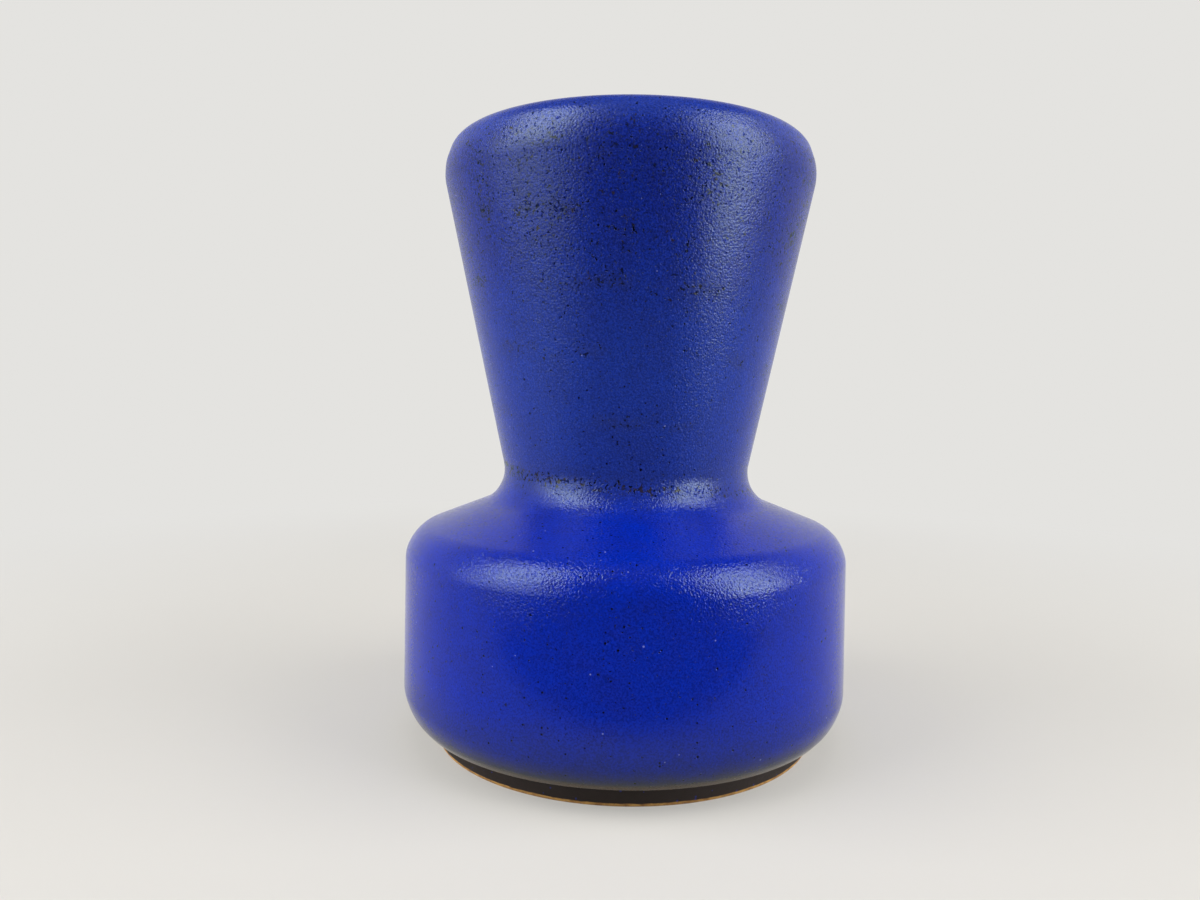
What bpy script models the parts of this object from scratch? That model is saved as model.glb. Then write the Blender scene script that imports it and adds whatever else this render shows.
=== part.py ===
"""Flower vase: three stoneware sections thrown on a wheel and luted together.

The belly carries the floor, the round shoulder and a grooved collar. The neck stands in that
groove, flares upwards and turns in at the rim. The foot ring sits in a shallow seat turned
into the belly's underside. Each section is an outline in the XZ plane, turned about +Z.
Units are metres, and the origin is the centre of the circle that the vase stands on.
"""

import math

import bmesh
import bpy
from mathutils import Quaternion, Vector
from mathutils.geometry import intersect_line_line

MM = 0.001

# Outside: each corner is a radius, a height and the rounding of the corner
HEIGHT = 200 * MM
FOOT_HEIGHT = 7.6 * MM
FOOT_RADIUS = 64 * MM
BELLY_EDGE = (70.2 * MM, FOOT_HEIGHT, 1.0 * MM)
BELLY_LOW = (75.4 * MM, 13.5 * MM, 14 * MM)
BELLY_HIGH = (74.6 * MM, 69.3 * MM, 12 * MM)
WAIST = (40 * MM, 82.8 * MM, 11.5 * MM)
RIM_FLARE = (62.2 * MM, 188.5 * MM, 14 * MM)
RIM_TOP = (58 * MM, HEIGHT, 8 * MM)

# Lip that turns in over the mouth
MOUTH_RADIUS = 46 * MM
LIP_THICKNESS = 7 * MM
LIP_ROUNDING = 3.4 * MM
UNDER_LIP_ROUNDING = 6 * MM

# Walls
FLOOR_THICKNESS = 8 * MM
BELLY_WALL = 6.5 * MM
NECK_WALL = 6 * MM
FLOOR_CORNER_ROUNDING = 12 * MM

# Luted joint at the waist: a tongue under the neck in a groove in the belly's collar
JOINT_HEIGHT = 89.9 * MM
TONGUE_RADIUS = 38.6 * MM
TONGUE_WIDTH = 2.4 * MM
TONGUE_DEPTH = 2 * MM

# Foot ring and its seat
FOOT_INNER_RADIUS = 57 * MM
FOOT_LEAN = 0.6 * MM
FOOT_EDGE_ROUNDING = 0.6 * MM
SEAT_DEPTH = 1.2 * MM

# Clear space between sections, where the slip that joins them lies
JOINT_GAP = 0.3 * MM

# Fineness of the turned solids
SEGMENTS = 64
ARC_STEP = math.radians(15)
MERGE_DISTANCE = 0.0001 * MM
SHARP_ANGLE = math.radians(35)

# Finishes: linear colour and roughness
BELLY_GLAZE = ((0.009, 0.018, 0.300), 0.42)
NECK_GLAZE = ((0.018, 0.034, 0.230), 0.45)
FOOT_CLAY = ((0.025, 0.018, 0.017), 0.60)


def point(radius, height):
    """A point of an outline."""
    return Vector((radius, 0, height))


def rounded(corners):
    """The line through some corners, with an arc at each inner corner that has a rounding."""
    line = [point(*corners[0][:2])]
    for before, corner, after in zip(corners, corners[1:], corners[2:]):
        tip = point(*corner[:2])
        rounding = corner[2]
        if rounding == 0:
            line.append(tip)
            continue
        to_before = (point(*before[:2]) - tip).normalized()
        to_after = (point(*after[:2]) - tip).normalized()
        half_angle = to_before.angle(to_after) / 2
        centre = tip + (to_before + to_after).normalized() * rounding / math.sin(half_angle)
        start = tip + to_before * rounding / math.tan(half_angle) - centre
        end = tip + to_after * rounding / math.tan(half_angle) - centre
        whole_turn = start.rotation_difference(end)
        steps = math.ceil(start.angle(end) / ARC_STEP)
        for step in range(steps + 1):
            part_turn = Quaternion().slerp(whole_turn, step / steps)
            line.append(centre + part_turn @ start)
    line.append(point(*corners[-1][:2]))
    return line


def inner_wall(low, high, thickness):
    """Two points on the inner face of a wall whose outer face runs up through two corners."""
    start = point(*low[:2])
    end = point(*high[:2])
    rise = (end - start).normalized()
    inwards = Vector((-rise.z, 0, rise.x)) * thickness
    return start + inwards, end + inwards


def meeting(first, second, rounding):
    """The corner where two walls, each given by two points, would meet."""
    crossing = intersect_line_line(*first, *second)[0]
    return crossing.x, crossing.z, rounding


def split(line, height):
    """The stretches of a rising line below and above a height, both ending on it."""
    below = [spot for spot in line if spot.z < height]
    above = [spot for spot in line if spot.z > height]
    share = (height - below[-1].z) / (above[0].z - below[-1].z)
    crossing = below[-1].lerp(above[0], share)
    return below + [crossing], [crossing] + above


def channel(near, far, mouth_height, bottom_height):
    """Four points across a square channel or tongue, from its near side to its far side."""
    return [point(near, mouth_height), point(near, bottom_height),
            point(far, bottom_height), point(far, mouth_height)]


def finish(name, colour, roughness):
    """A plain fired surface."""
    material = bpy.data.materials.new(name)
    material.use_nodes = True
    shader = material.node_tree.nodes["Principled BSDF"]
    shader.inputs["Base Color"].default_value = (*colour, 1)
    shader.inputs["Roughness"].default_value = roughness
    shader.inputs["Metallic"].default_value = 0
    return material


def turn(name, outline, closed, look, parent):
    """A section turned about Z. An outline that isn't closed starts and ends on the axis."""
    shape = bmesh.new()
    verts = [shape.verts.new(spot) for spot in outline]
    followers = verts[1:] + verts[:1] if closed else verts[1:]
    edges = [shape.edges.new(pair) for pair in zip(verts, followers)]
    bmesh.ops.spin(shape, geom=verts + edges, cent=(0, 0, 0), axis=(0, 0, 1),
                   angle=math.tau, steps=SEGMENTS, use_merge=True)
    bmesh.ops.remove_doubles(shape, verts=shape.verts, dist=MERGE_DISTANCE)
    bmesh.ops.recalc_face_normals(shape, faces=shape.faces)

    mesh = bpy.data.meshes.new(name)
    shape.to_mesh(mesh)
    shape.free()
    mesh.shade_smooth()
    mesh.set_sharp_from_angle(angle=SHARP_ANGLE)
    mesh.materials.append(finish(name + "_finish", *look))

    section = bpy.data.objects.new(name, mesh)
    section.parent = parent
    bpy.context.scene.collection.objects.link(section)


def seat_corners():
    """The seat for the foot ring, from its inner side to its outer side."""
    inner = FOOT_INNER_RADIUS - FOOT_LEAN - JOINT_GAP
    outer = FOOT_RADIUS + FOOT_LEAN + JOINT_GAP
    return [(spot.x, spot.z, 0) for spot in channel(inner, outer, FOOT_HEIGHT, FOOT_HEIGHT + SEAT_DEPTH)]


def outside_line():
    """The vase's outside, from the middle of the underside up to the mouth."""
    lip_top = (MOUTH_RADIUS, HEIGHT, LIP_ROUNDING)
    lip_edge = (MOUTH_RADIUS, HEIGHT - LIP_THICKNESS / 2, 0)
    underside = (0, FOOT_HEIGHT, 0)
    return rounded([underside, *seat_corners(), BELLY_EDGE, BELLY_LOW, BELLY_HIGH, WAIST,
                    RIM_FLARE, RIM_TOP, lip_top, lip_edge])


def inside_line():
    """The vase's inside, from the middle of the floor up to the mouth."""
    floor_height = FOOT_HEIGHT + FLOOR_THICKNESS
    under_lip_height = HEIGHT - LIP_THICKNESS
    floor = (point(0, floor_height), point(BELLY_LOW[0], floor_height))
    belly = inner_wall(BELLY_LOW, BELLY_HIGH, BELLY_WALL)
    shoulder = inner_wall(BELLY_HIGH, WAIST, BELLY_WALL)
    neck = inner_wall(WAIST, RIM_FLARE, NECK_WALL)
    under_lip = (point(0, under_lip_height), point(RIM_TOP[0], under_lip_height))
    return rounded([
        (0, floor_height, 0),
        meeting(floor, belly, FLOOR_CORNER_ROUNDING),
        meeting(belly, shoulder, BELLY_HIGH[2] - BELLY_WALL),
        meeting(shoulder, neck, WAIST[2] + NECK_WALL),
        meeting(neck, under_lip, UNDER_LIP_ROUNDING),
        (MOUTH_RADIUS, under_lip_height, LIP_ROUNDING),
        (MOUTH_RADIUS, HEIGHT - LIP_THICKNESS / 2, 0),
    ])


def belly_outline():
    """Underside, wall, shoulder and collar, then back down the inside to the floor."""
    outside = split(outside_line(), JOINT_HEIGHT)[0]
    inside = split(inside_line(), JOINT_HEIGHT)[0]
    half_width = TONGUE_WIDTH / 2 + JOINT_GAP
    groove = channel(TONGUE_RADIUS + half_width, TONGUE_RADIUS - half_width,
                     JOINT_HEIGHT, JOINT_HEIGHT - TONGUE_DEPTH)
    return outside + groove + inside[::-1]


def neck_outline():
    """Flared wall, rim and lip, then back down the inside and across the tongue."""
    foot_height = JOINT_HEIGHT + JOINT_GAP
    outside = split(outside_line(), foot_height)[1]
    inside = split(inside_line(), foot_height)[1]
    half_width = TONGUE_WIDTH / 2
    tongue = channel(TONGUE_RADIUS - half_width, TONGUE_RADIUS + half_width,
                     foot_height, foot_height - TONGUE_DEPTH)
    return outside + inside[-2::-1] + tongue


def foot_outline():
    """A low ring that widens slightly towards the belly, with softened standing edges."""
    top = FOOT_HEIGHT + SEAT_DEPTH - JOINT_GAP
    middle = (FOOT_INNER_RADIUS + FOOT_RADIUS) / 2
    return rounded([
        (middle, 0, 0),
        (FOOT_RADIUS, 0, FOOT_EDGE_ROUNDING),
        (FOOT_RADIUS + FOOT_LEAN, top, 0),
        (FOOT_INNER_RADIUS - FOOT_LEAN, top, 0),
        (FOOT_INNER_RADIUS, 0, FOOT_EDGE_ROUNDING),
        (middle, 0, 0),
    ])[:-1]


for leftover in list(bpy.data.objects):
    bpy.data.objects.remove(leftover)

vase = bpy.data.objects.new("vase", None)
bpy.context.scene.collection.objects.link(vase)

turn("foot_ring", foot_outline(), True, FOOT_CLAY, vase)
turn("belly", belly_outline(), False, BELLY_GLAZE, vase)
turn("neck", neck_outline(), True, NECK_GLAZE, vase)
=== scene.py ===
"""Flower vase: the looks of its three stoneware sections, in metres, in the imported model's frame.

The belly and the neck are cut from one turned wall, so the surface and the glaze run on across
their joint. Then come the foot ring, the round sweep that the vase stands in, its light and the
camera.
"""

import math

import bmesh
import bpy
from mathutils import Matrix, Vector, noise


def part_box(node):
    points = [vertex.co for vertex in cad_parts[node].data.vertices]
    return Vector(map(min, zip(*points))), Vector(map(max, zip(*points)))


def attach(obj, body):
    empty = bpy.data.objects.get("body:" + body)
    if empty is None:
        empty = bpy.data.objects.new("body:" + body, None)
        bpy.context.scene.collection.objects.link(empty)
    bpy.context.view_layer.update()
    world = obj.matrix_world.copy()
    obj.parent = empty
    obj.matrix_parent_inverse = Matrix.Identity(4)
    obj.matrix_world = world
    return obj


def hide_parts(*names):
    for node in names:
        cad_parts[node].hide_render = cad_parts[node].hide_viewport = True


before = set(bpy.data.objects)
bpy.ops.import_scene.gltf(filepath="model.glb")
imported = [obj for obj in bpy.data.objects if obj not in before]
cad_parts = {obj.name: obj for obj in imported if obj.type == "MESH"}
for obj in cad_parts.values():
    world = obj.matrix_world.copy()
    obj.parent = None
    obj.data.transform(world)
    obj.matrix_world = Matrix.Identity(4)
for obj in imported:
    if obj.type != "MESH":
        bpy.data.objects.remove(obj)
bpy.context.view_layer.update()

# Belly: the lower section of the vase, thrown in stoneware with its floor, its upright wall, its
# round shoulder and the collar that the neck is luted to. It is dipped in dark slip and then in a
# satin cobalt glaze, which thins out along the lower edge, and it is lined with brown glaze.
MM = 0.001
belly_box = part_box("belly")
neck_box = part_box("neck")
foot_height = belly_box[0].z
joint_height = belly_box[1].z
vase_height = neck_box[1].z

# Seat for the foot ring, turned into the underside
seat_inner = 56.4 * MM
seat_outer = 64.6 * MM
seat_depth = 1.2 * MM

# Corners of the wall, each with its radius, height and rounding
mouth_radius = 46 * MM
lip_rounding = 3.4 * MM
lip_middle = vase_height - 3.5 * MM
lip_bottom = vase_height - 7 * MM
floor_top = foot_height + 8 * MM
belly_edge = (70.2 * MM, foot_height, 1 * MM)
belly_low = (75.4 * MM, 13.5 * MM, 14 * MM)
belly_high = (74.6 * MM, 69.3 * MM, 12 * MM)
waist = (40 * MM, 82.8 * MM, 11.5 * MM)
rim_flare = (62.2 * MM, 188.5 * MM, 14 * MM)
rim_top = (58 * MM, vase_height, 8 * MM)
lip_top = (mouth_radius, vase_height, lip_rounding)
lip_edge = (mouth_radius, lip_middle, 0)
lip_under = (mouth_radius, lip_bottom, lip_rounding)
neck_inside = (57 * MM, lip_bottom, 6 * MM)
waist_inside = (32 * MM, 79.2 * MM, 17.5 * MM)
shoulder_inside = (68 * MM, 65 * MM, 5.5 * MM)
floor_inside = (68.9 * MM, floor_top, 12 * MM)

# Ripples that the fingers left while the wheel turned: their line climbs one pitch in a turn
throw_pitch = 20 * MM
ripples_in_a_pitch = 3
ripple_outside = 0.02 * MM
ripple_inside = 0.2 * MM
out_of_round = 0.12 * MM
wobble_size = 60 * MM

# Fineness of the turned meshes
wheel_segments = 192
outside_step = 1.2 * MM
inside_step = 2.5 * MM
underside_step = 14 * MM
arc_fineness = 2
fewest_arc_steps = 5
merge_distance = 0.001 * MM
sharp_angle = math.radians(35)


def rounded_wire(shape, corners, step):
    """Draws a wire through corners in the XZ plane, rounds them and divides it into steps."""
    verts = [shape.verts.new((radius, 0, height)) for radius, height, rounding in corners]
    wire = [shape.edges.new(pair) for pair in zip(verts, verts[1:])]
    for vert, (radius, height, rounding) in zip(verts, corners):
        if rounding:
            before, after = [edge.other_vert(vert).co - vert.co for edge in vert.link_edges]
            half_angle = before.angle(after) / 2
            arc_length = rounding * (math.pi - 2 * half_angle)
            arc_steps = max(fewest_arc_steps, round(arc_fineness * arc_length / step))
            bmesh.ops.bevel(shape, geom=[vert], offset=rounding / math.tan(half_angle),
                            offset_type="OFFSET", affect="VERTICES", segments=arc_steps,
                            profile=0.5, material=-1)
    for edge in wire:
        if edge.is_valid and edge.calc_length() > 2 * step:
            bmesh.ops.subdivide_edges(shape, edges=[edge], cuts=round(edge.calc_length() / step))


def turn_on_wheel(shape):
    """Spins all the wires of a shape about the vase's axis into closed skins."""
    bmesh.ops.remove_doubles(shape, verts=shape.verts, dist=merge_distance)
    bmesh.ops.spin(shape, geom=shape.verts[:] + shape.edges[:], cent=(0, 0, 0), axis=(0, 0, 1),
                   angle=math.tau, steps=wheel_segments, use_merge=True)
    bmesh.ops.remove_doubles(shape, verts=shape.verts, dist=merge_distance)
    bmesh.ops.recalc_face_normals(shape, faces=shape.faces)


def thrown_wall():
    """The whole wall of the vase, turned, rippled and slightly out of round."""
    wall = bmesh.new()
    lining = wall.verts.layers.float.new("lining")
    rounded_wire(wall, [lip_edge, lip_under, neck_inside, waist_inside, shoulder_inside,
                        floor_inside, (0, floor_top, 0)], inside_step)
    for vert in wall.verts:
        vert[lining] = 1
    seat_top = foot_height + seat_depth
    seat_rim = (seat_outer, foot_height, 0)
    rounded_wire(wall, [(0, foot_height, 0), (seat_inner, foot_height, 0), (seat_inner, seat_top, 0),
                        (seat_outer, seat_top, 0), seat_rim], underside_step)
    rounded_wire(wall, [seat_rim, belly_edge, belly_low, belly_high, waist, rim_flare, rim_top,
                        lip_top, lip_edge], outside_step)
    turn_on_wheel(wall)
    for vert in wall.verts:
        climb = vert.co.z / throw_pitch + math.atan2(vert.co.y, vert.co.x) / math.tau
        ripple = math.sin(math.tau * ripples_in_a_pitch * climb) - 1
        depth = ripple_inside if vert[lining] else ripple_outside
        wobble = noise.noise(vert.co / wobble_size) - 1
        radius = max(vert.co.xy.length, MM)
        vert.co.xy *= 1 + (ripple * depth + wobble * out_of_round) / radius
    return wall


def cut_off(shape, place, side):
    """Cuts away all of a shape on one side of a plane, and gives the edges of the cut."""
    cut = bmesh.ops.bisect_plane(shape, geom=shape.verts[:] + shape.edges[:] + shape.faces[:],
                                 plane_co=place, plane_no=side, clear_outer=True)
    return [item for item in cut["geom_cut"] if isinstance(item, bmesh.types.BMEdge)]


def luted_face(section, cut_edges, inset, drop):
    """Closes a cut wall with a flat face that has a groove or a tongue along its middle."""
    face = bmesh.ops.bridge_loops(section, edges=cut_edges)["faces"]
    bmesh.ops.inset_region(section, faces=face, thickness=inset, use_boundary=True)
    bmesh.ops.translate(section, verts=list({vert for side in face for vert in side.verts}),
                        vec=(0, 0, -drop))


def piece(name, shape, material):
    """A finished piece, shaded smooth between its sharp edges."""
    bmesh.ops.recalc_face_normals(shape, faces=shape.faces)
    mesh = bpy.data.meshes.new(name)
    shape.to_mesh(mesh)
    shape.free()
    mesh.shade_smooth()
    mesh.set_sharp_from_angle(angle=sharp_angle)
    mesh.materials.append(material)
    made = bpy.data.objects.new(name, mesh)
    bpy.context.scene.collection.objects.link(made)
    return made


def add(tree, kind, inputs, output=0, **settings):
    """One output of a new shader node, whose inputs are linked to sockets or set to values."""
    node = tree.nodes.new("ShaderNode" + kind)
    for name, value in settings.items():
        setattr(node, name, value)
    for name, value in inputs.items():
        if isinstance(value, bpy.types.NodeSocket):
            tree.links.new(value, node.inputs[name])
        else:
            node.inputs[name].default_value = value
    return node.outputs[output]


def maths(tree, operation, *values):
    """The result of a sum on sockets or numbers."""
    return add(tree, "Math", dict(enumerate(values)), operation=operation)


def times(tree, product, *others):
    """Sockets and numbers multiplied together."""
    for other in others:
        product = maths(tree, "MULTIPLY", product, other)
    return product


def fade(tree, value, start, end, low=0, high=1):
    """Goes smoothly from low to high as a value goes from start to end."""
    return add(tree, "MapRange", {"Value": value, "From Min": start, "From Max": end,
                                  "To Min": low, "To Max": high}, interpolation_type="SMOOTHSTEP")


def coat(tree, share, under, over):
    """One colour laid over another, by a share from 0 to 1."""
    return add(tree, "Mix", {0: share, 6: under, 7: over}, output=2, data_type="RGBA")


def cloud(tree, place, size, detail):
    """Soft random patches of about a size."""
    return add(tree, "TexNoise", {"Vector": place, "Scale": 1 / size, "Detail": detail},
               output="Fac")


def specks(tree, place, spacing, largest, share):
    """Round specks at random places, of random sizes. A share of them is kept."""
    solid_core = 0.55
    distance = add(tree, "TexVoronoi", {"Vector": place, "Scale": 1 / spacing}, output="Distance")
    luck = add(tree, "SeparateColor", {"Color": distance.node.outputs["Color"]}).node.outputs
    reach = times(tree, luck["Red"], largest / spacing)
    from_core = maths(tree, "DIVIDE", distance, reach)
    kept = maths(tree, "LESS_THAN", luck["Green"], share)
    return times(tree, fade(tree, from_core, 1, solid_core), kept)


def blots(tree, place, size, rarity):
    """Ragged spots of about a size, fewer as the rarity goes from 0.5 to 0.8."""
    soft_edge = 0.05
    return fade(tree, maths(tree, "SUBTRACT", cloud(tree, place, size, 2), rarity), 0, soft_edge)


# Colours of the glaze, of what shows through it and of the specks in it
belly_blue = (0.0006, 0.0145, 0.312, 1)
neck_blue = (0.0085, 0.0295, 0.272, 1)
# Blue of the upper neck: partly the glaze's deeper blue and partly painted shade
upper_blue_and_shade = (0.0036, 0.0150, 0.205, 1)
slip_brown = (0.0155, 0.0088, 0.0068, 1)
iron_brown = (0.0170, 0.0115, 0.0085, 1)
thin_olive = (0.0280, 0.0290, 0.0195, 1)
edge_brown = (0.0600, 0.0340, 0.0180, 1)
speck_black = (0.0006, 0.0020, 0.0150, 1)
speck_pale = (0.2800, 0.3300, 0.6500, 1)
liner_brown = (0.0320, 0.0180, 0.0100, 1)

# Heights over which the glaze changes, each from where a change starts to where it is complete
neck_starts = (76 * MM, 94 * MM)
upper_starts = (120 * MM, 175 * MM)
upper_ends = (198 * MM, 188 * MM)
collar_starts = (83 * MM, 87 * MM)
collar_ends = (97 * MM, 90 * MM)
waist_gathers = (100 * MM, 92 * MM)
streaks_start = (78 * MM, 86 * MM)
streaks_end = (186 * MM, 176 * MM)
pinholes_thin_out = (85 * MM, 160 * MM)
olive_shows = (32 * MM, 18 * MM)
olive_covers = (18.5 * MM, 9 * MM)
clay_shows = (10.5 * MM, 8.2 * MM)
lining_starts = (180 * MM, 176 * MM)
neck_dulls = (78 * MM, 96 * MM)
rim_dulls = (165 * MM, 185 * MM)
peel_deepens = (48 * MM, 66 * MM)
peel_softens = (82 * MM, 96 * MM)


def cobalt_glaze():
    """Satin cobalt glaze, specked with iron, over dark slip, with a brown glaze lining inside."""
    material = bpy.data.materials.new("cobalt_glaze")
    material.use_nodes = True
    tree = material.node_tree
    shader = tree.nodes["Principled BSDF"]
    place = add(tree, "TexCoord", {}, output="Object")
    across, depth, height = add(tree, "SeparateXYZ", {"Vector": place}).node.outputs
    lining = add(tree, "Attribute", {}, output="Fac", attribute_name="lining")

    # Line that a finger drew up the wall, where iron gathered in patches and all round the waist
    half_pitch = 0.5
    line_start = 0.23
    line_reach = 0.18
    line_wander = 0.16
    wander_size = 12 * MM
    patch_size = 15 * MM
    patch_limits = (0.48, 0.62)
    patch_shift = (20 * MM, 20 * MM, 70 * MM)
    turn = maths(tree, "DIVIDE", maths(tree, "ARCTAN2", depth, across), math.tau)
    wander = times(tree, cloud(tree, place, wander_size, 3), line_wander)
    climb = maths(tree, "ADD", maths(tree, "DIVIDE", height, throw_pitch), turn)
    climb = maths(tree, "SUBTRACT", maths(tree, "ADD", climb, wander), line_start)
    line = fade(tree, maths(tree, "PINGPONG", climb, half_pitch), line_reach, 0)
    patch_place = add(tree, "VectorMath", {0: place, 1: patch_shift}, operation="ADD")
    patches = fade(tree, cloud(tree, patch_place, patch_size, 1), *patch_limits)
    gathered = maths(tree, "MAXIMUM", patches, fade(tree, height, *waist_gathers))
    streak = times(tree, line, gathered, fade(tree, height, *streaks_start),
                   fade(tree, height, *streaks_end))

    # Cobalt, greyer on the neck and darker on its upper part, partly a deeper blue and partly painted
    # shade, with some mottling and a fine grain
    mottle_size = 9 * MM
    mottle_limits = (0.35, 0.7)
    mottle_share = 0.12
    grain_size = 0.55 * MM
    grain_limits = (0.25, 0.75)
    grain_contrast = (0.30, 0.45)
    neck_share = fade(tree, height, *neck_starts)
    colour = coat(tree, neck_share, belly_blue, neck_blue)
    upper = times(tree, fade(tree, height, *upper_starts), fade(tree, height, *upper_ends))
    # Darker upper neck: partly a deeper blue, partly painted shade
    colour = coat(tree, upper, colour, upper_blue_and_shade)
    mottle = fade(tree, cloud(tree, place, mottle_size, 4), *mottle_limits, 0, mottle_share)
    colour = coat(tree, mottle, colour, slip_brown)
    contrast = fade(tree, upper, 0, 1, *grain_contrast)
    darkest = maths(tree, "SUBTRACT", 1, contrast)
    lightest = maths(tree, "ADD", 1, contrast)
    grain = fade(tree, cloud(tree, place, grain_size, 1), *grain_limits, darkest, lightest)
    colour = add(tree, "VectorMath", {0: colour, "Scale": grain}, operation="SCALE")

    # Iron specks, closer together on the upper neck, round the waist and along the finger's line
    collar_thinning = 0.15
    streak_thinning = 0.14
    collar = times(tree, fade(tree, height, *collar_starts), fade(tree, height, *collar_ends))
    thinned = maths(tree, "MAXIMUM", times(tree, collar, collar_thinning),
                    times(tree, streak, streak_thinning))
    colour = coat(tree, thinned, colour, thin_olive)
    waist_line = times(tree, collar, line)
    upper_patches = times(tree, patches, upper)
    rarity = 0.705
    for share, crowding in ((neck_share, 0.017), (upper, 0.048), (collar, 0.02), (waist_line, 0.06),
                            (streak, 0.062), (upper_patches, 0.035)):
        rarity = maths(tree, "SUBTRACT", rarity, times(tree, share, crowding))
    fine_size = 0.95 * MM
    coarse_size = 1.4 * MM
    coarse_rarity = 0.003
    fine = blots(tree, place, fine_size, rarity)
    coarse = blots(tree, place, coarse_size, maths(tree, "ADD", rarity, coarse_rarity))

    # Pinholes and pale grains, and rust in some of the coarse specks
    pinhole_gap = 1.7 * MM
    pinhole_largest = 0.48 * MM
    pinhole_shares = (0.36, 0.3)
    pale_gap = 3.4 * MM
    pale_largest = 0.36 * MM
    pale_kept = 0.22
    rust_size = 7 * MM
    rust_limits = (0.53, 0.66)
    pinhole_kept = fade(tree, height, *pinholes_thin_out, *pinhole_shares)
    pinholes = specks(tree, place, pinhole_gap, pinhole_largest, pinhole_kept)
    pale = specks(tree, place, pale_gap, pale_largest, pale_kept)
    rust = times(tree, neck_share, fade(tree, cloud(tree, place, rust_size, 1), *rust_limits))
    iron = coat(tree, maths(tree, "MAXIMUM", rust, waist_line), speck_black, iron_brown)
    for spots, cover, tone in ((pinholes, 0.92, speck_black), (fine, 0.85, speck_black),
                               (coarse, 0.9, iron), (pale, 0.5, speck_pale)):
        colour = coat(tree, times(tree, spots, cover), colour, tone)

    # Lower edge, where the glaze thins to olive and the burnt clay shows through at last
    ragged_size = 5 * MM
    ragged_reach = 3 * MM
    first_olive = 0.3
    ragged = maths(tree, "ADD", height, times(tree, cloud(tree, place, ragged_size, 3), ragged_reach))
    colour = coat(tree, fade(tree, ragged, *olive_shows, 0, first_olive), colour, thin_olive)
    colour = coat(tree, fade(tree, ragged, *olive_covers), colour, thin_olive)
    colour = coat(tree, fade(tree, height, *clay_shows), colour, edge_brown)

    # Lining, which meets the cobalt some way down inside the neck along an uneven border
    pour_size = 20 * MM
    pour_reach = 14 * MM
    poured = maths(tree, "ADD", height, times(tree, cloud(tree, place, pour_size, 2), pour_reach))
    lined = times(tree, lining, fade(tree, poured, *lining_starts))
    colour = coat(tree, lined, colour, liner_brown)
    tree.links.new(colour, shader.inputs["Base Color"])

    # Satin gloss, duller on the neck and the rim, and dark where there is a pit
    pit_darkness = 0.9
    gloss_neck = (0.13, 0.22)
    gloss_rim = (0, 0.07)
    gloss_size = 0.5 * MM
    gloss_limits = (0.3, 0.7)
    gloss_change = (-0.06, 0.06)
    pits = maths(tree, "MAXIMUM", fine, pinholes)
    tree.links.new(times(tree, pits, pit_darkness), shader.inputs["Metallic"])
    rough = fade(tree, height, *neck_dulls, *gloss_neck)
    rough = maths(tree, "ADD", rough, fade(tree, height, *rim_dulls, *gloss_rim))
    uneven = fade(tree, cloud(tree, place, gloss_size, 1), *gloss_limits, *gloss_change)
    tree.links.new(maths(tree, "ADD", rough, uneven), shader.inputs["Roughness"])
    shader.inputs["Specular IOR Level"].default_value = 0.22
    shader.inputs["Specular Tint"].default_value = (0.82, 1, 0.70, 1)

    # Orange peel of dimples and fine noise, slight on the lower wall, with a pit at each speck
    dimple_gap = 0.85 * MM
    dimple_limits = (0.15, 0.6)
    dimple_depth = 0.22
    peel_size = 0.5 * MM
    peel_depth = 0.5
    peel_below = (0.25, 1)
    peel_above = (1, 0.7)
    pit_depth = 0.3
    relief_depth = 0.235 * MM
    dimples = add(tree, "TexVoronoi", {"Vector": place, "Scale": 1 / dimple_gap}, output="Distance")
    dimples = times(tree, fade(tree, dimples, *dimple_limits), dimple_depth)
    peel = maths(tree, "ADD", times(tree, cloud(tree, place, peel_size, 1), peel_depth), dimples)
    peel = times(tree, peel, fade(tree, height, *peel_deepens, *peel_below),
                 fade(tree, height, *peel_softens, *peel_above))
    relief = maths(tree, "SUBTRACT", peel, times(tree, pits, pit_depth))
    bump = add(tree, "Bump", {"Strength": 1, "Distance": relief_depth, "Height": relief},
               output="Normal")
    tree.links.new(bump, shader.inputs["Normal"])
    return material


glaze = cobalt_glaze()
groove_inset = 1.5 * MM
groove_depth = 2 * MM
vase_wall = thrown_wall()

belly_shape = vase_wall.copy()
collar_edges = cut_off(belly_shape, (0, 0, joint_height), (0, 0, 1))
luted_face(belly_shape, collar_edges, groove_inset, groove_depth)
belly = piece("glazed_belly", belly_shape, glaze)
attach(belly, "root")
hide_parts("belly")

# Neck: the upper section, thrown by itself with its flared wall, its round rim and the lip that
# turns in over the mouth. Its tongue is luted into the groove of the belly's collar, and the same
# cobalt glaze covers it, over the lip and a little way down inside.
slip_gap = 0.3 * MM
tongue_inset = groove_inset + slip_gap
tongue_depth = groove_depth - slip_gap

neck_shape = vase_wall.copy()
vase_wall.free()
neck_edges = cut_off(neck_shape, (0, 0, joint_height), (0, 0, -1))
luted_face(neck_shape, neck_edges, tongue_inset, tongue_depth)
neck = piece("glazed_neck", neck_shape, glaze)
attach(neck, "root")
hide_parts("neck")

# Foot ring: a low ring of the same clay, luted into the seat under the belly and turned true. It is
# coated with dark slip, and its standing edge is wiped to the bare tan clay.
foot_inner = 57 * MM
foot_outer = 64 * MM
foot_middle = (foot_inner + foot_outer) / 2
foot_lean = 0.6 * MM
foot_rounding = 0.6 * MM
foot_top = foot_height + seat_depth
foot_step = 0.8 * MM
bare_clay = (0.540, 0.300, 0.085, 1)
burnt_clay = (0.270, 0.130, 0.038, 1)


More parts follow.
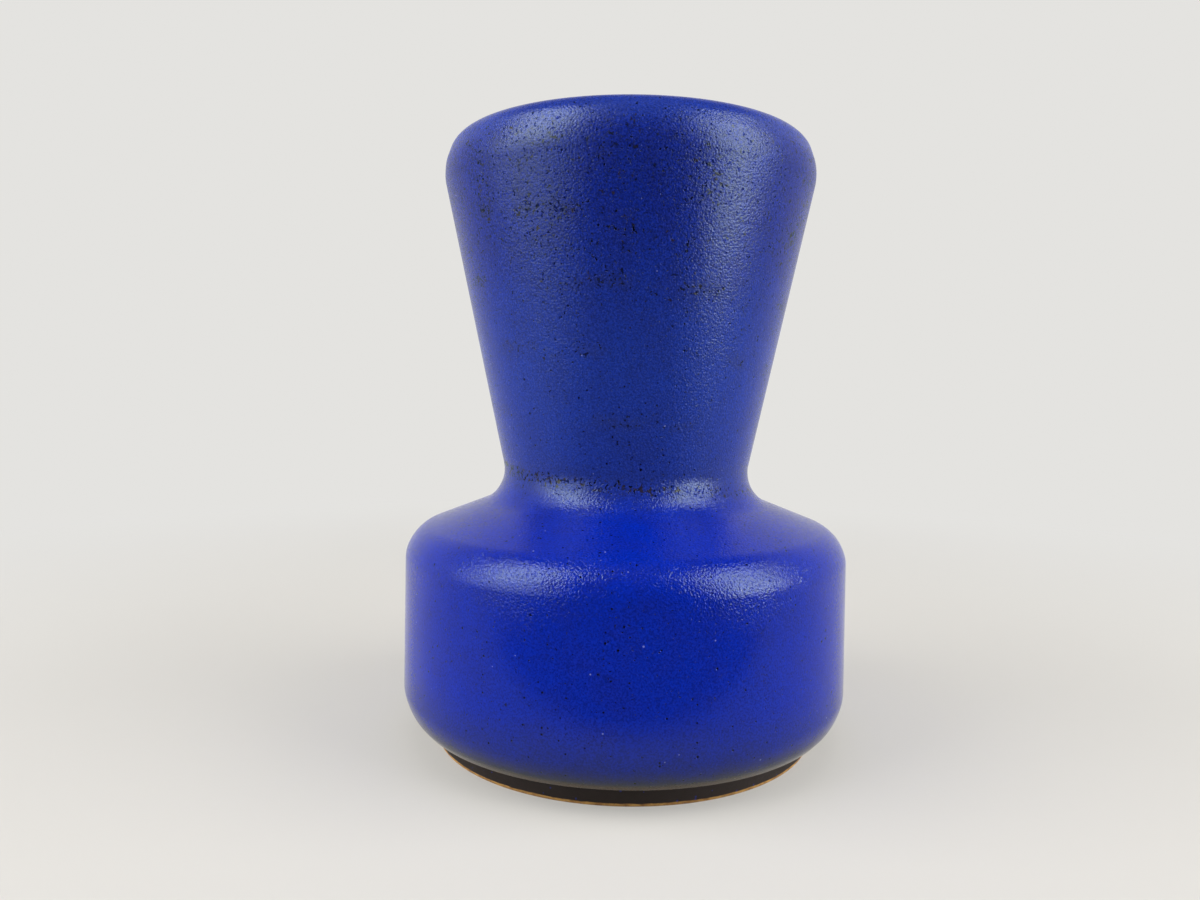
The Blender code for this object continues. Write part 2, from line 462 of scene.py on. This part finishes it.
def wiped_slip():
    """Matt dark slip with drops of cobalt, wiped off the standing edge so that the clay shows."""
    material = bpy.data.materials.new("wiped_slip")
    material.use_nodes = True
    tree = material.node_tree
    shader = tree.nodes["Principled BSDF"]
    place = add(tree, "TexCoord", {}, output="Object")
    height = add(tree, "SeparateXYZ", {"Vector": place}, output="Z")

    # Slip, mottled with iron
    mottle_size = 6 * MM
    iron_limits = (0.4, 0.7)
    iron_share = 0.5
    drop_gap = 1.8 * MM
    drop_largest = 0.45 * MM
    drop_kept = 0.5
    drop_cover = 0.55
    mottle = cloud(tree, place, mottle_size, 4)
    slip = coat(tree, fade(tree, mottle, *iron_limits, 0, iron_share), slip_brown, iron_brown)
    drops = specks(tree, place, drop_gap, drop_largest, drop_kept)
    slip = coat(tree, times(tree, drops, drop_cover), slip, neck_blue)

    # Bare clay below an uneven wiped line
    clay_size = 2.5 * MM
    clay_limits = (0.35, 0.7)
    wiped_height = 0.75 * MM
    wiped_size = 3 * MM
    wiped_waver = 0.5 * MM
    wiped_blur = 0.12 * MM
    clay = coat(tree, fade(tree, cloud(tree, place, clay_size, 4), *clay_limits), bare_clay, burnt_clay)
    waver = times(tree, cloud(tree, place, wiped_size, 3), wiped_waver)
    wiped = fade(tree, maths(tree, "SUBTRACT", height, waver),
                 wiped_height + wiped_blur, wiped_height - wiped_blur)
    tree.links.new(coat(tree, wiped, slip, clay), shader.inputs["Base Color"])

    # Matt, slightly grainy surface
    rough_limits = (0.3, 0.7)
    rough_range = (0.5, 0.7)
    fine_grain = 0.5 * MM
    coarse_grain = 1.4 * MM
    grain_depth = 0.08 * MM
    tree.links.new(fade(tree, mottle, *rough_limits, *rough_range), shader.inputs["Roughness"])
    shader.inputs["Specular IOR Level"].default_value = 0.25
    relief = maths(tree, "ADD", cloud(tree, place, fine_grain, 2), cloud(tree, place, coarse_grain, 2))
    bump = add(tree, "Bump", {"Strength": 0.6, "Distance": grain_depth, "Height": relief},
               output="Normal")
    tree.links.new(bump, shader.inputs["Normal"])
    return material


foot_shape = bmesh.new()
rounded_wire(foot_shape, [
    (foot_middle, 0, 0), (foot_outer, 0, foot_rounding), (foot_outer + foot_lean, foot_top, 0),
    (foot_inner - foot_lean, foot_top, 0), (foot_inner, 0, foot_rounding), (foot_middle, 0, 0),
], foot_step)
turn_on_wheel(foot_shape)
foot = piece("slipped_foot_ring", foot_shape, wiped_slip())
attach(foot, "root")
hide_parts("foot_ring")

# Floor: a plain sweep of pale paper, flat under the vase and curving up all round it. It takes the
# vase's shadow near by, and further away it looks plain and unlit. The middle of its near part
# doesn't show in the gloss, and its front, which closes it behind the camera, only shows to a camera.
paper_radius = 1.2
paper_top = 1.35
paper_bend = 0.45
paper_step = 0.06
paper_front = -0.40
shade_front = -0.14
shade_side = 0.28
paper_colour = (0.585, 0.563, 0.523, 1)
paper_seen = (0.775, 0.767, 0.745, 1)
plain_near = 0.1
plain_far = 0.6
plain_share_near = 0.4
plain_share_far = 1

paper_shape = bmesh.new()
paper_corner = (paper_radius, 0, paper_bend)
rounded_wire(paper_shape, [(0, 0, 0), paper_corner, (paper_radius, paper_top, 0)], paper_step)
turn_on_wheel(paper_shape)
front_shape = paper_shape.copy()
cut_off(front_shape, (0, paper_front, 0), (0, 1, 0))
cut_off(paper_shape, (0, paper_front, 0), (0, -1, 0))
near_shape = paper_shape.copy()
cut_off(near_shape, (0, shade_front, 0), (0, 1, 0))
cut_off(paper_shape, (0, shade_front, 0), (0, -1, 0))

paper_material = bpy.data.materials.new("pale_paper")
paper_material.use_nodes = True
paper_tree = paper_material.node_tree
paper_lit = add(paper_tree, "BsdfDiffuse", {"Color": paper_colour})
paper_plain = add(paper_tree, "Emission", {"Color": paper_seen})
camera_ray = add(paper_tree, "LightPath", {}, output="Is Camera Ray")
seen = maths(paper_tree, "ADD", camera_ray, camera_ray.node.outputs["Is Glossy Ray"])
paper_place = add(paper_tree, "TexCoord", {}, output="Object")
from_vase = add(paper_tree, "VectorMath", {0: paper_place}, output="Value", operation="LENGTH")
plain_share = fade(paper_tree, from_vase, plain_near, plain_far, plain_share_near, plain_share_far)
plain_share = times(paper_tree, seen, plain_share)
paper_look = add(paper_tree, "MixShader", {0: plain_share, 1: paper_lit, 2: paper_plain})
paper_tree.links.new(paper_look, paper_tree.nodes["Material Output"].inputs["Surface"])
for side in (-1, 1):
    wing_shape = near_shape.copy()
    cut_off(wing_shape, (side * shade_side, 0, 0), (-side, 0, 0))
    cut_off(near_shape, (side * shade_side, 0, 0), (side, 0, 0))
    wing = piece("pale_sweep_wing", wing_shape, paper_material)
paper = piece("pale_sweep", paper_shape, paper_material)
near_paper = piece("pale_sweep_near", near_shape, paper_material)
near_paper.visible_glossy = False
front_paper = piece("pale_sweep_front", front_shape, paper_material)
front_paper.visible_glossy = False
front_paper.visible_diffuse = False

# Light: two soft windows beside the vase and a weaker panel overhead light it and show in no gloss.
# Four white cards, a high and a low one on each side, show only in the gloss. The room is dim, but
# the camera sees it as pale as the paper.
vase_middle = 100 * MM
window_turn = 72
room_level = 0.12


def soft_panel(turned, raised, distance, width, height, bright):
    """A rectangle of even light that faces the middle of the vase, turned and raised by degrees."""
    lamp = bpy.data.lights.new("soft_panel", "AREA")
    lamp.shape = "RECTANGLE"
    lamp.size = width
    lamp.size_y = height
    lamp.energy = bright * math.pi * width * height
    panel = bpy.data.objects.new("soft_panel", lamp)
    about_vase = Matrix.Rotation(math.radians(turned), 4, "Z")
    tilted = Matrix.Rotation(math.radians(90 - raised), 4, "X")
    away = Matrix.Translation((0, 0, distance))
    panel.matrix_world = Matrix.Translation((0, 0, vase_middle)) @ about_vase @ tilted @ away
    panel.visible_camera = False
    bpy.context.scene.collection.objects.link(panel)
    return panel


for side in (-1, 1):
    window = soft_panel(turned=side * window_turn, raised=25, distance=0.95,
                        width=0.85, height=0.95, bright=4.7)
    window.visible_glossy = False
overhead = soft_panel(turned=0, raised=80, distance=1.2, width=0.9, height=0.9, bright=1.75)
overhead.visible_glossy = False
left_card = soft_panel(turned=-60, raised=40, distance=0.98, width=0.50, height=0.72, bright=11.6)
left_card.visible_diffuse = False
low_left_card = soft_panel(turned=-60, raised=9, distance=0.98, width=0.90, height=0.52, bright=4.2)
low_left_card.visible_diffuse = False
right_card = soft_panel(turned=63, raised=24, distance=0.92, width=0.50, height=1.02, bright=10.6)
right_card.visible_diffuse = False
low_right_card = soft_panel(turned=63, raised=5, distance=0.90, width=0.50, height=0.24, bright=4)
low_right_card.visible_diffuse = False

room = bpy.data.worlds.new("room")
room.use_nodes = True
room_tree = room.node_tree
room_light = room_tree.nodes["Background"]
room_seen = add(room_tree, "LightPath", {}, output="Is Camera Ray")
room_colour = coat(room_tree, room_seen, (room_level, room_level, room_level, 1), paper_seen)
room_tree.links.new(room_colour, room_light.inputs["Color"])
bpy.context.scene.world = room

# Camera: a phone's wide lens close in front of the vase, tipped a little down and to one side.
camera_place = (-8.95 * MM, -311 * MM, 120.2 * MM)
camera_tip = math.radians(4.35)
camera_roll = math.radians(0.71)
film_width = 36
lens_length = 27.05

lens = bpy.data.cameras.new("camera")
lens.sensor_width = film_width
lens.lens = lens_length
camera = bpy.data.objects.new("camera", lens)
tipped = Matrix.Rotation(math.pi / 2 - camera_tip, 4, "X")
rolled = Matrix.Rotation(camera_roll, 4, "Z")
camera.matrix_world = Matrix.Translation(camera_place) @ tipped @ rolled
bpy.context.scene.collection.objects.link(camera)
bpy.context.scene.camera = camera
bpy.context.scene.view_settings.view_transform = "Standard"
